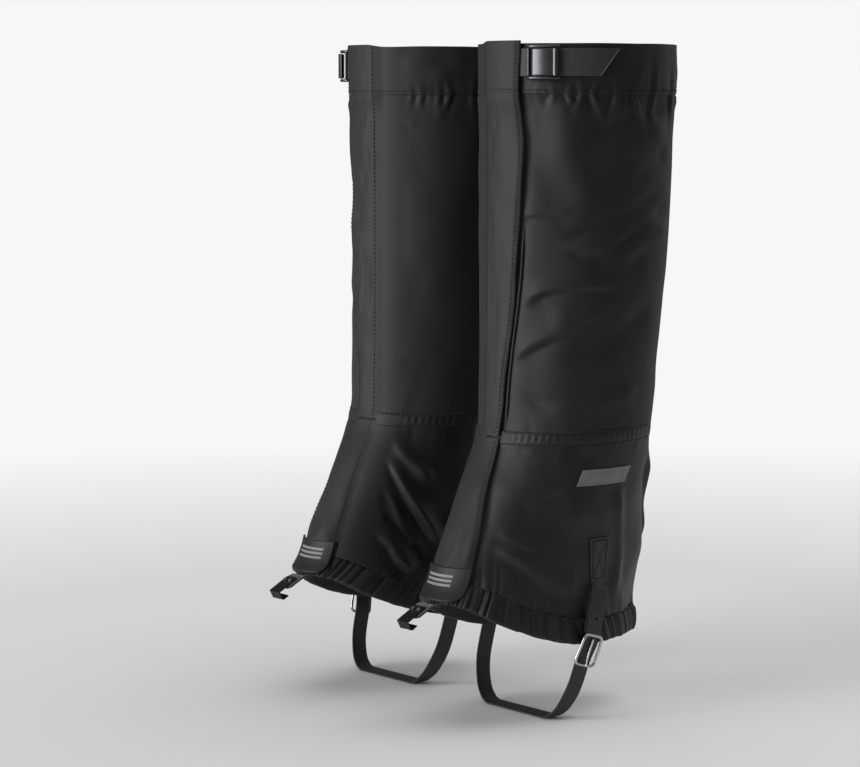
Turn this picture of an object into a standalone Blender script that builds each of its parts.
"""A pair of knee-high hiking gaiters, modelled as separate sewn and metal pieces.

Frame: metres, +Z up, toes toward -Y, the wearer's left toward +X.
The origin is midway between the two gaiters, on the plane the instep straps run along.
Each gaiter is described in its own coordinates, with +x toward its outer (lateral) side,
and side = +1 (left) or -1 (right) places and mirrors it.
"""
import math

import bmesh
import bpy
from mathutils import Matrix, Vector

# Driving dimensions, in metres
AXIS_X = 0.078            # centre of each gaiter from the mid plane
TOP_Z = 0.503             # top edge
BAND_Z = 0.466            # lower seam of the top band
ANKLE_Z = 0.212           # seam between upper and lower fabric
ANKLE_SEAM_H = 0.010      # height of the felled ankle seam
HEM_LOW_Z = 0.056         # hem edge at the back and sides
HEM_RISE = 0.038          # how much higher the hem edge is at the front
CASING_H = 0.019          # height of the elastic casing
GAP = 0.0003              # clearance between touching pieces

# height, half width, half depth and centre of the leg opening, and how egg-shaped it is
STATIONS = (
    (0.030, 0.0500, 0.1075, -0.0585, 0.08),
    (0.056, 0.0498, 0.1050, -0.0565, 0.08),
    (0.082, 0.0492, 0.1010, -0.0530, 0.08),
    (0.103, 0.0500, 0.0930, -0.0430, 0.08),
    (0.123, 0.0510, 0.0910, -0.0360, 0.08),
    (0.169, 0.0540, 0.0800, -0.0240, 0.05),
    (0.212, 0.0580, 0.0690, -0.0130, 0.02),
    (0.250, 0.0600, 0.0700, -0.0090, 0.01),
    (0.308, 0.0630, 0.0730, -0.0050, 0.00),
    (0.385, 0.0655, 0.0755, -0.0022, 0.00),
    (0.466, 0.0672, 0.0773, -0.0006, 0.00),
    (0.503, 0.0680, 0.0780, 0.0000, 0.00),
    (0.540, 0.0688, 0.0788, 0.0000, 0.00),
)

# Layers of the front closure, as distances outward from the wall's inner face
SHELL = (0.0, 0.0010)
BAND = (0.0, 0.0018)
SEAM = (0.0, 0.0022)
HOOK_TAPE = (0.0014, 0.0020)
LOOP_TAPE = (0.0023, 0.0031)
FLAP = (0.0035, 0.0045)
FLAP_LIFT = 0.0019        # how much further out the flap lies where it covers the top strap
TAB = (0.0044, 0.0062)

# height and local x of points along the closing flap's free edge
FLAP_EDGE = (
    (0.0960, 0.0195), (0.1185, 0.0195), (0.1450, 0.0172), (0.1690, 0.0130), (0.2120, 0.0068), (0.2350, 0.0075),
    (0.2620, 0.0100), (0.3080, 0.0155), (0.3600, 0.0190), (0.4200, 0.0225), (0.4480, 0.0212),
    (0.4680, 0.0200), (0.5060, 0.0215),
)
FLAP_ROOT_TOP_X = -0.0130  # fold line of the upper flap
FLAP_ROOT_LOW_X = -0.0175  # fold line at the lower flap's toe end
FLAP_SPLIT = 0.0015       # gap between upper and lower flap
FLAP_TOP_Z = 0.506
FLAP_LOW_Z = 0.1185
TAB_LOW_Z = 0.0960

# Top strap, on a circle about this local centre
STRAP_C = Vector((-0.004, -0.006, 0.0))
STRAP_R = 0.0759
STRAP_T = 0.0013
STRAP_Z = (0.4785, 0.4985)
STRAP_START = 4.5
STRAP_SQUARE = 58.5        # where the slanted cut of the tail begins
STRAP_END_LOW = 64.5
STRAP_END_HIGH = 76.0

# Cam buckle, in degrees along the same circle
BUCKLE_ARC = (24.0, 42.6)
CAM_ARC = (28.6, 39.2)
CAM_PIN_DEG = 40.3
CAM_PIN_R = 0.0010
CAM_PIN_OUT = 0.0042
RAIL_T = 0.0022

# Instep strap and its buckle
STRAP_W = 0.0145
INSTEP_T = 0.0016
LEAN = 0.30               # forward run per unit of drop
PATCH_LOW_Z = 0.103
PATCH_TOP_Z = 0.136
SWING_Z = 0.102
SWING_Y = -0.0250
SIDE_X = 0.0545
WIRE_R = 0.0011
BAR_TOP_Z = 0.0640
BAR_LOW_Z = 0.0420
FRAME_HALF_W = 0.0099


def clear_scene():
    for old in list(bpy.data.objects):
        bpy.data.objects.remove(old, do_unlink=True)


def section(z):
    """Half width, half depth, centre and egg shape at a height, smooth between stations."""
    for i in range(1, len(STATIONS) - 2):
        if z <= STATIONS[i + 1][0]:
            break
    p = STATIONS[i - 1]
    q = STATIONS[i]
    r = STATIONS[i + 1]
    s = STATIONS[i + 2]
    t = (z - q[0]) / (r[0] - q[0])
    h = r[0] - q[0]
    values = []
    for k in (1, 2, 3, 4):
        m0 = h * (r[k] - p[k]) / (r[0] - p[0])
        m1 = h * (s[k] - q[k]) / (s[0] - q[0])
        values.append(
            (2 * t**3 - 3 * t**2 + 1) * q[k]
            + (t**3 - 2 * t**2 + t) * m0
            + (3 * t**2 - 2 * t**3) * r[k]
            + (t**3 - t**2) * m1
        )
    return values


def wall(z, phi, out=0.0):
    """A point of the leg wall. phi is 0 at the front and grows toward the outer side."""
    a, b, c, egg = section(z)
    nx = b * math.sin(phi)
    ny = -a * (math.cos(phi) - egg * math.cos(2.0 * phi))
    n = math.hypot(nx, ny)
    x = a * math.sin(phi) * (1.0 - egg * math.cos(phi))
    y = c - b * math.cos(phi)
    return Vector((x + out * nx / n, y + out * ny / n, z))


def phi_at(z, x):
    """The angle at which the front wall reaches a local x."""
    a, b, c, egg = section(z)
    phi = 0.0
    for _ in range(12):
        phi = math.asin(x / (a * (1.0 - egg * math.cos(phi))))
    return phi


def phi_at_y(z, y):
    """The angle at which the outer side of the wall reaches a y."""
    a, b, c, egg = section(z)
    return math.acos((c - y) / b)


def bump(deg):
    """1 at the front, falling smoothly to 0 behind 110 degrees."""
    t = min(max((deg - 15.0) / 95.0, 0.0), 1.0)
    return 0.5 + 0.5 * math.cos(math.pi * t)


def wrapped_degrees(phi):
    d = math.degrees(phi) % 360.0
    return min(d, 360.0 - d)


def hem_z(phi):
    return HEM_LOW_Z + HEM_RISE * bump(wrapped_degrees(phi))


def casing_top_z(phi):
    return hem_z(phi) + CASING_H - 0.004 * bump(wrapped_degrees(phi))


def spread(lo, hi, count):
    return [lo + (hi - lo) * i / (count - 1) for i in range(count)]


def finish(name, bm, side, material, origin=None, smooth=40.0):
    """Place a local mesh on its side of the pair and give it its own material."""
    for v in bm.verts:
        v.co.x = side * (AXIS_X + v.co.x)
    bmesh.ops.recalc_face_normals(bm, faces=bm.faces)
    if bm.calc_volume(signed=True) < 0.0:
        bmesh.ops.reverse_faces(bm, faces=bm.faces)
    mesh = bpy.data.meshes.new(name)
    place = Vector((0.0, 0.0, 0.0))
    if origin is not None:
        place = Vector((side * (AXIS_X + origin[0]), origin[1], origin[2]))
        bmesh.ops.translate(bm, verts=bm.verts, vec=-place)
    bm.to_mesh(mesh)
    bm.free()
    mesh.shade_smooth()
    mesh.set_sharp_from_angle(angle=math.radians(smooth))
    obj = bpy.data.objects.new(name, mesh)
    obj.location = place
    bpy.context.scene.collection.objects.link(obj)
    colour, rough, metal = material
    mat = bpy.data.materials.new(name)
    mat.use_nodes = True
    shader = mat.node_tree.nodes["Principled BSDF"]
    shader.inputs["Base Color"].default_value = (colour[0], colour[1], colour[2], 1.0)
    shader.inputs["Roughness"].default_value = rough
    shader.inputs["Metallic"].default_value = metal
    mesh.materials.append(mat)
    return obj


def loft(rows, closed=False):
    """Skin rows of points, each a closed outline, and cap the ends unless it closes."""
    bm = bmesh.new()
    made = [[bm.verts.new(p) for p in row] for row in rows]
    count = len(made)
    last = count if closed else count - 1
    for i in range(last):
        one = made[i]
        two = made[(i + 1) % count]
        for j in range(len(one)):
            k = (j + 1) % len(one)
            bm.faces.new((one[j], one[k], two[k], two[j]))
    if not closed:
        bm.faces.new(made[0])
        bm.faces.new(made[-1])
    return bm


def panel(grid, layer, lift=None):
    """A sheet over rows of (z, phi), extruded from the layer's inner to its outer face.

    lift is a function of z that moves the whole sheet outward.
    """
    raised = lift or (lambda z: 0.0)
    bm = bmesh.new()
    high = bm.verts.layers.float.new("z")
    turn = bm.verts.layers.float.new("phi")
    made = []
    for row in grid:
        line = []
        for z, phi in row:
            v = bm.verts.new(wall(z, phi, layer[0] + raised(z)))
            v[high] = z
            v[turn] = phi
            line.append(v)
        made.append(line)
    for one, two in zip(made, made[1:]):
        for j in range(len(one) - 1):
            bm.faces.new((one[j], one[j + 1], two[j + 1], two[j]))
    grown = bmesh.ops.extrude_face_region(bm, geom=list(bm.faces))
    for v in grown["geom"]:
        if isinstance(v, bmesh.types.BMVert):
            v.co = wall(v[high], v[turn], layer[1] + raised(v[high]))
    return bm


def wrap_row(z_of, start, end, count):
    return [(z_of(phi), phi) for phi in spread(start, end, count)]


def root_x(z):
    """Local x of the flap's fold line, which drifts inward below the ankle."""
    if z >= ANKLE_Z:
        return FLAP_ROOT_TOP_X
    t = (ANKLE_Z - z) / (ANKLE_Z - FLAP_LOW_Z)
    return FLAP_ROOT_TOP_X + (FLAP_ROOT_LOW_X - FLAP_ROOT_TOP_X) * min(t, 1.3)


def free_x(z):
    """Local x of the flap's free edge."""
    for low, high in zip(FLAP_EDGE, FLAP_EDGE[1:]):
        if z <= high[0]:
            break
    t = (z - low[0]) / (high[0] - low[0])
    return low[1] + (high[1] - low[1]) * t


def split_ring(levels, layer, count=33):
    """A sleeve around the leg that is open along the fold line at the front.

    levels are functions of phi giving the height of each row.
    """
    grid = []
    for level in levels:
        z0 = level(0.0)
        start = phi_at(z0, root_x(z0) + 0.0006)
        end = phi_at(z0, root_x(z0) - 0.0006) + 2.0 * math.pi
        grid.append(wrap_row(level, start, end, count))
    return panel(grid, layer)


def flap_lift(z):
    """The flap rises over the top strap's thickness just below the top band."""
    t = min(max((z - 0.448) / 0.020, 0.0), 1.0)
    return FLAP_LIFT * t * t * (3.0 - 2.0 * t)


def strip(z_list, x_left, x_right, layer, count, lift=None):
    """A strip of tape on the front wall between two local x lines."""
    grid = []
    for z in z_list:
        grid.append([(z, phi_at(z, x)) for x in spread(x_left(z), x_right(z), count)])
    return panel(grid, layer, lift)


def on_arc(deg, radius, z):
    a = math.radians(deg)
    return Vector((STRAP_C.x + radius * math.sin(a), STRAP_C.y - radius * math.cos(a), z))


def arc_loft(degrees, outline):
    """Sweep an outline of (distance outside the strap circle, z) along the circle."""
    rows = [[on_arc(d, STRAP_R + r, z) for r, z in outline] for d in degrees]
    return loft(rows)


def tube(points, radius, sides, closed=False):
    """A round rod along points that lie in one plane."""
    count = len(points)
    normal = Vector((0.0, 0.0, 0.0))
    for i in range(1, count - 1):
        normal += (points[i] - points[i - 1]).cross(points[i + 1] - points[i])
    if normal.length < 1e-12:
        normal = (points[-1] - points[0]).orthogonal()
    normal.normalize()
    rows = []
    for i, p in enumerate(points):
        before = points[(i - 1) % count] if closed or i > 0 else p
        after = points[(i + 1) % count] if closed or i < count - 1 else p
        across = (after - before).normalized().cross(normal)
        ring = []
        for k in range(sides):
            a = 2.0 * math.pi * k / sides
            ring.append(p + radius * (math.cos(a) * across + math.sin(a) * normal))
        rows.append(ring)
    return loft(rows, closed)


def rod(start, end, radius, sides=16):
    return tube([start, end], radius, sides)


def lean_y(z):
    return SWING_Y - (SWING_Z - z) * LEAN


def side_frame():
    """Unit vectors down and across the leaning side run of the instep strap."""
    down = Vector((0.0, -LEAN, -1.0)).normalized()
    across = Vector((0.0, 1.0, -LEAN)).normalized()
    return down, across


def band_rows(points, acrosses, outs, width, thick):
    """Rectangular rows for a flat strap: inner face on the points."""
    rows = []
    for p, across, out in zip(points, acrosses, outs):
        half = across * (width / 2.0)
        rows.append([p - half, p + half, p + half + out * thick, p - half + out * thick])
    return rows


FABRIC = ((0.020, 0.020, 0.021), 0.72, 0.0)
LOWER_FABRIC = ((0.016, 0.016, 0.017), 0.66, 0.0)
TAPE = ((0.012, 0.012, 0.013), 0.95, 0.0)
WEBBING = ((0.026, 0.026, 0.027), 0.80, 0.0)
RUBBER = ((0.022, 0.022, 0.023), 0.55, 0.0)
GUNMETAL = ((0.16, 0.16, 0.17), 0.35, 1.0)
NICKEL = ((0.62, 0.62, 0.63), 0.22, 1.0)
STEEL = ((0.05, 0.05, 0.055), 0.38, 1.0)
ELASTIC = ((0.010, 0.010, 0.010), 0.90, 0.0)
EMBLEM = ((0.20, 0.20, 0.21), 0.50, 0.0)


def make_shells(tag, side):
    low = ANKLE_Z - ANKLE_SEAM_H / 2.0
    high = ANKLE_Z + ANKLE_SEAM_H / 2.0
    upper = [lambda phi, z=z: z for z in (high + GAP, 0.235, 0.262, 0.308, 0.385, BAND_Z - GAP)]
    finish(tag + "upper_shell", split_ring(upper, SHELL), side, FABRIC)
    band = [lambda phi, z=z: z for z in (BAND_Z, TOP_Z)]
    finish(tag + "top_band", split_ring(band, BAND), side, FABRIC)
    seam = [lambda phi, z=z: z for z in (low, high)]
    finish(tag + "ankle_seam", split_ring(seam, SEAM), side, LOWER_FABRIC)

    def between(t):
        def level(phi):
            floor = casing_top_z(phi) + GAP
            return floor + (low - GAP - floor) * t
        return level

    lower = [between(i / 8.0) for i in range(9)]
    finish(tag + "lower_shell", split_ring(lower, SHELL), side, LOWER_FABRIC)


def make_hem(tag, side):
    """A fabric casing folded around an elastic band, open along its top inside."""
    start = phi_at(0.1, root_x(0.1) + 0.0008)
    end = 2.0 * math.pi + phi_at(0.1, root_x(0.1) - 0.0008)
    outline = (
        (-0.0024, 0.0), (0.0026, 0.0), (0.0026, 1.0), (0.0014, 1.0),
        (0.0014, 0.075), (-0.0012, 0.075), (-0.0012, 0.80), (-0.0024, 0.80),
    )
    rows = []
    band = []
    for phi in spread(start, end, 35):
        lo = hem_z(phi)
        hi = casing_top_z(phi)
        rows.append([wall(lo + (hi - lo) * t, phi, out) for out, t in outline])
        core = ((-0.0005, 0.16), (0.0006, 0.16), (0.0006, 0.82), (-0.0005, 0.82))
        band.append([wall(lo + (hi - lo) * t, phi, out) for out, t in core])
    finish(tag + "hem_casing", loft(rows), side, LOWER_FABRIC)
    finish(tag + "hem_elastic", loft(band), side, ELASTIC)


def make_flaps(tag, side):
    split = FLAP_SPLIT / 2.0
    upper_z = (ANKLE_Z + split, 0.235, 0.262, 0.308, 0.360, 0.420, 0.448, 0.458, 0.468, FLAP_TOP_Z)
    lower_z = (FLAP_LOW_Z, 0.135, 0.152, 0.169, 0.190, ANKLE_Z - split)
    middle = (FLAP[0] + FLAP[1]) / 2.0
    origin = wall(0.36, phi_at(0.36, root_x(0.36)), middle)
    bm = strip(upper_z, root_x, free_x, FLAP, 8, flap_lift)
    finish(tag + "upper_flap", bm, side, FABRIC, origin)
    inset = 0.0030
    tape_z = (0.2215, 0.235, 0.262, 0.308, 0.360, 0.420, 0.448, 0.462)
    bm = strip(tape_z, lambda z: root_x(z) + inset, lambda z: free_x(z) - inset, LOOP_TAPE, 6)
    finish(tag + "upper_loop_tape", bm, side, TAPE, origin)
    bm = strip(tape_z, lambda z: root_x(z) + inset, lambda z: free_x(z) - inset, HOOK_TAPE, 6)
    finish(tag + "upper_hook_tape", bm, side, TAPE)

    origin = wall(0.169, phi_at(0.169, root_x(0.169)), middle)
    bm = strip(lower_z, root_x, free_x, FLAP, 8)
    finish(tag + "lower_flap", bm, side, LOWER_FABRIC, origin)
    tape_z = (0.1205, 0.135, 0.152, 0.169, 0.190, 0.2030)
    bm = strip(tape_z, lambda z: root_x(z) + inset, lambda z: free_x(z) - inset, LOOP_TAPE, 7)
    finish(tag + "lower_loop_tape", bm, side, TAPE, origin)
    bm = strip(tape_z, lambda z: root_x(z) + inset, lambda z: free_x(z) - inset, HOOK_TAPE, 7)
    finish(tag + "lower_hook_tape", bm, side, TAPE)


def make_tab(tag, side):
    """The moulded pull tab below the flap's end, with rounded lower corners."""
    grid = []
    heights = [TAB_LOW_Z + h for h in (0.0, 0.001, 0.0025, 0.005, 0.013)] + [FLAP_LOW_Z - GAP]
    corner = 0.005
    for z in heights:
        rise = min((z - TAB_LOW_Z) / corner, 1.0)
        pull = 0.0045 * (1.0 - math.sqrt(1.0 - (1.0 - rise) ** 2))
        left = FLAP_ROOT_LOW_X + 0.0015 + pull
        right = free_x(z) - 0.0005 - pull
        grid.append([(z, phi_at(z, x)) for x in spread(left, right, 10)])
    top = FLAP_LOW_Z - GAP
    origin = wall(top, 0.0, (TAB[0] + TAB[1]) / 2.0)
    finish(tag + "pull_tab", panel(grid, TAB), side, RUBBER, origin)


def make_lace_hook(tag, side):
    """A short tape tongue below the hem with a bent steel hook riveted on its end."""
    start = Vector((0.0, -0.1490, 0.0925))
    end = Vector((0.0, -0.1640, 0.0845))
    along = (end - start).normalized()
    up = Vector((0.0, along.z, -along.y))
    if up.z < 0.0:
        up = -up

    def profile(pairs, half_width, drift=0.0):
        rows = []
        for sign in (-1.0, 1.0):
            rows.append([
                start + along * s + up * n + Vector((sign * half_width + drift, 0.0, 0.0))
                for s, n in pairs
            ])
        return loft(rows)

    thick = 0.0016
    tongue = ((0.0, 0.0), (0.0170, 0.0), (0.0170, thick), (0.0, thick))
    finish(tag + "front_tongue", profile(tongue, 0.0085), side, TAPE)
    base = thick + GAP
    steel = 0.0010
    throat = 0.0062
    lip = base - throat
    hook = (
        (0.0055, base), (0.0240, base), (0.0240, lip), (0.0185, lip),
        (0.0185, lip - steel), (0.0238, lip - steel), (0.0250, lip + 0.0002),
        (0.0250, base + steel - 0.0002), (0.0238, base + steel), (0.0055, base + steel),
    )
    finish(tag + "lace_hook", profile(hook, 0.0060), side, STEEL)
    for name, x in (("lace_rivet_inner", -0.0031), ("lace_rivet_outer", 0.0031)):
        centre = start + along * 0.0100 + up * (base + steel + GAP) + Vector((x, 0.0, 0.0))
        finish(tag + name, rod(centre, centre + up * 0.0009, 0.0016, 12), side, STEEL)


def make_top_buckle(tag, side):
    z0 = STRAP_Z[0]
    z1 = STRAP_Z[1]
    ends = [(d, d) for d in spread(STRAP_START, STRAP_SQUARE, 13)]
    for t in (0.33, 0.67, 1.0):
        low = STRAP_SQUARE + (STRAP_END_LOW - STRAP_SQUARE) * t
        ends.append((low, STRAP_SQUARE + (STRAP_END_HIGH - STRAP_SQUARE) * t))
    rows = []
    for low, high in ends:
        rows.append([
            on_arc(low, STRAP_R, z0), on_arc(high, STRAP_R, z1),
            on_arc(high, STRAP_R + STRAP_T, z1), on_arc(low, STRAP_R + STRAP_T, z0),
        ])
    finish(tag + "top_strap", loft(rows), side, WEBBING, STRAP_C + Vector((0.0, 0.0, z0)))

    rail_z0 = z0 - GAP - RAIL_T
    rail_z1 = z1 + GAP + RAIL_T
    wall_h = 0.0052
    under = -GAP - 0.0006
    channel = (
        (under, rail_z0), (wall_h, rail_z0), (wall_h, z0 - GAP), (-GAP, z0 - GAP),
        (-GAP, z1 + GAP), (wall_h, z1 + GAP), (wall_h, rail_z1), (under, rail_z1),
    )
    degrees = spread(BUCKLE_ARC[0], BUCKLE_ARC[1], 9)
    rows = []
    for d in degrees:
        middle = (d - BUCKLE_ARC[0]) / (BUCKLE_ARC[1] - BUCKLE_ARC[0])
        bow = 1.0 - 0.55 * (2.0 * middle - 1.0) ** 4
        rows.append([
            on_arc(d, STRAP_R + (r * bow if r > 0.001 else r), z) for r, z in channel
        ])
    finish(tag + "top_buckle_frame", loft(rows), side, GUNMETAL)

    pin_at = on_arc(CAM_PIN_DEG, STRAP_R + CAM_PIN_OUT, 0.0)
    low = pin_at + Vector((0.0, 0.0, z0))
    high = pin_at + Vector((0.0, 0.0, z1))
    finish(tag + "top_buckle_pin", rod(low, high, CAM_PIN_R, 16), side, GUNMETAL)

    anchor = ((-0.0012, z0 + 0.001), (-0.0004, z0 + 0.001), (-0.0004, z1 - 0.001), (-0.0012, z1 - 0.001))
    bm = arc_loft(spread(BUCKLE_ARC[1] + 0.4, 58.0, 7), anchor)
    finish(tag + "buckle_anchor", bm, side, WEBBING)

    # The cam: a barrel around the pin that carries a domed cover plate.
    barrel_out = 0.0023
    bore = CAM_PIN_R + 0.00015
    bm = bmesh.new()
    made = []
    for z in (z0 + 0.0004, z1 - 0.0004):
        rings = []
        for radius in (bore, barrel_out):
            ring = []
            for k in range(20):
                a = 2.0 * math.pi * k / 20.0
                ring.append(bm.verts.new(pin_at + Vector((radius * math.cos(a), radius * math.sin(a), z))))
            rings.append(ring)
        made.append(rings)
    for k in range(20):
        n = (k + 1) % 20
        for ring in (0, 1):
            bm.faces.new((made[0][ring][k], made[0][ring][n], made[1][ring][n], made[1][ring][k]))
        for end in (0, 1):
            bm.faces.new((made[end][0][k], made[end][0][n], made[end][1][n], made[end][1][k]))
    bmesh.ops.recalc_face_normals(bm, faces=bm.faces)
    barrel = finish(tag + "top_cam", bm, side, GUNMETAL, pin_at + Vector((0.0, 0.0, z0)))

    rows = []
    for d in spread(CAM_ARC[0], CAM_ARC[1], 8):
        t = (d - CAM_ARC[0]) / (CAM_ARC[1] - CAM_ARC[0])
        dome = 0.0032 + 0.0022 * math.sin(math.pi * (0.25 + 0.55 * t))
        rows.append([
            on_arc(d, STRAP_R + dome, z0 + 0.0004), on_arc(d, STRAP_R + dome + 0.0011, z0 + 0.0004),
            on_arc(d, STRAP_R + dome + 0.0011, z1 - 0.0004), on_arc(d, STRAP_R + dome, z1 - 0.0004),
        ])
    plate = finish(tag + "cam_plate_form", loft(rows), side, GUNMETAL)
    join = barrel.modifiers.new("cover_plate", "BOOLEAN")
    join.operation = "UNION"
    join.solver = "EXACT"
    join.object = plate
    plate.hide_render = True
    plate.display_type = "WIRE"


def make_instep(tag, side):
    down, across = side_frame()
    for name, sign in (("patch_lateral", 1.0), ("patch_medial", -1.0)):
        grid = []
        for z in spread(PATCH_LOW_Z, PATCH_TOP_Z, 4):
            half = 0.0074 + 0.0024 * (z - PATCH_LOW_Z) / (PATCH_TOP_Z - PATCH_LOW_Z)
            mid = SWING_Y
            grid.append([(z, sign * phi_at_y(z, y)) for y in spread(mid - half, mid + half, 5)])
        finish(tag + name, panel(grid, (0.0015, 0.0027)), side, WEBBING)

    origin = Vector((0.0, SWING_Y, SWING_Z))
    # One strap from the medial patch, under the sole, up through the buckle to its tail.
    floor_y = lean_y(0.0)
    path = []
    outline = (
        (-SIDE_X, 0.1010), (-SIDE_X, 0.074), (-SIDE_X, 0.048), (-0.0528, 0.030), (-0.0470, 0.0150),
        (-0.0400, 0.0060), (-0.0310, INSTEP_T),
    )
    for x, z in outline:
        path.append((x, z))
    for x in (-0.012, 0.012):
        path.append((x, INSTEP_T))
    rising = (
        (0.0310, INSTEP_T), (0.0400, 0.0060), (0.0462, 0.0150), (0.0505, 0.0270), (0.0526, BAR_LOW_Z),
        (0.0540, 0.0490), (0.0568, 0.0580), (0.0572, BAR_TOP_Z), (0.0572, 0.0760), (0.0564, 0.0880),
        (0.0551, 0.0990),
    )
    for x, z in rising:
        path.append((x, z))
    points = [Vector((x, lean_y(z), z)) for x, z in path]
    flat = Vector((0.0, 1.0, 0.0))
    acrosses = []
    outs = []
    for i, p in enumerate(points):
        before = points[max(i - 1, 0)]
        after = points[min(i + 1, len(points) - 1)]
        blend = min(max((p.z - INSTEP_T) / 0.020, 0.0), 1.0)
        side_across = flat.lerp(across, blend).normalized()
        run = (after - before).normalized()
        out = side_across.cross(run).normalized()
        if p.z < 0.004:
            out = Vector((0.0, 0.0, -1.0))
            side_across = flat
        acrosses.append(side_across)
        outs.append(out)
    bm = loft(band_rows(points, acrosses, outs, STRAP_W, INSTEP_T))
    finish(tag + "instep_strap", bm, side, RUBBER, origin)

    # The short hanger from the lateral patch to the buckle's upper bar.
    tops = (0.1010, 0.083, BAR_TOP_Z + WIRE_R + 0.0006)
    points = [Vector((x, lean_y(z), z)) for x, z in zip((0.0532, 0.0545, SIDE_X), tops)]
    count = len(points)
    bm = loft(band_rows(points, [across] * count, [Vector((1.0, 0.0, 0.0))] * count, STRAP_W - 0.001, 0.0015))
    finish(tag + "instep_hanger", bm, side, RUBBER, origin)

    # The wire frame: a rounded trapezoid, wider at its lower bar.
    top_mid = Vector((0.0603, lean_y(BAR_TOP_Z), BAR_TOP_Z))
    low_mid = Vector((0.0558, lean_y(BAR_LOW_Z), BAR_LOW_Z))
    reach = low_mid - top_mid
    height = reach.length
    drop = reach.normalized()
    corner = 0.0035
    ring = []
    corners = (
        (-FRAME_HALF_W + 0.0008, 0.0, 180.0), (FRAME_HALF_W - 0.0008, 0.0, 270.0),
        (FRAME_HALF_W, height, 0.0), (-FRAME_HALF_W, height, 90.0),
    )
    for w, h, first in corners:
        cw = w - math.copysign(corner, w)
        ch = h + (corner if h == 0.0 else -corner)
        for k in range(5):
            a = math.radians(first + 22.5 * k)
            ring.append(top_mid + across * (cw + corner * math.cos(a)) + drop * (ch + corner * math.sin(a)))
    finish(tag + "instep_buckle", tube(ring, WIRE_R, 8, True), side, NICKEL, top_mid)

    # The prong rests on the lower bar and turns about the upper one, outside the strap.
    reach_out = Vector((1.0, 0.0, 0.0))
    prong = [
        top_mid + reach_out * 0.0004 + drop * 0.0026,
        top_mid + reach_out * 0.0006 + drop * 0.0090,
        top_mid + reach_out * 0.0011 + drop * 0.0150,
        top_mid + reach_out * 0.0018 + drop * (height - 0.004),
        top_mid + reach_out * 0.0027 + drop * (height + 0.0012),
    ]
    finish(tag + "instep_prong", tube(prong, 0.0008, 8), side, NICKEL, top_mid)


def make_emblem(tag, side):
    """A plain raised bar with slanted ends on the outer side, in place of any mark."""
    grid = []
    for z in spread(0.1765, 0.1885, 3):
        shift = (z - 0.1765) * 0.45
        grid.append([(z, phi_at_y(z, y)) for y in spread(-0.0480 + shift, -0.0020 + shift, 9)])
    finish(tag + "side_emblem", panel(grid, (0.0015, 0.0021)), side, EMBLEM)


def main():
    clear_scene()
    for tag, side in (("left_", 1.0), ("right_", -1.0)):
        make_shells(tag, side)
        make_hem(tag, side)
        make_flaps(tag, side)
        make_tab(tag, side)
        make_lace_hook(tag, side)
        make_top_buckle(tag, side)
        make_instep(tag, side)
        make_emblem(tag, side)


main()
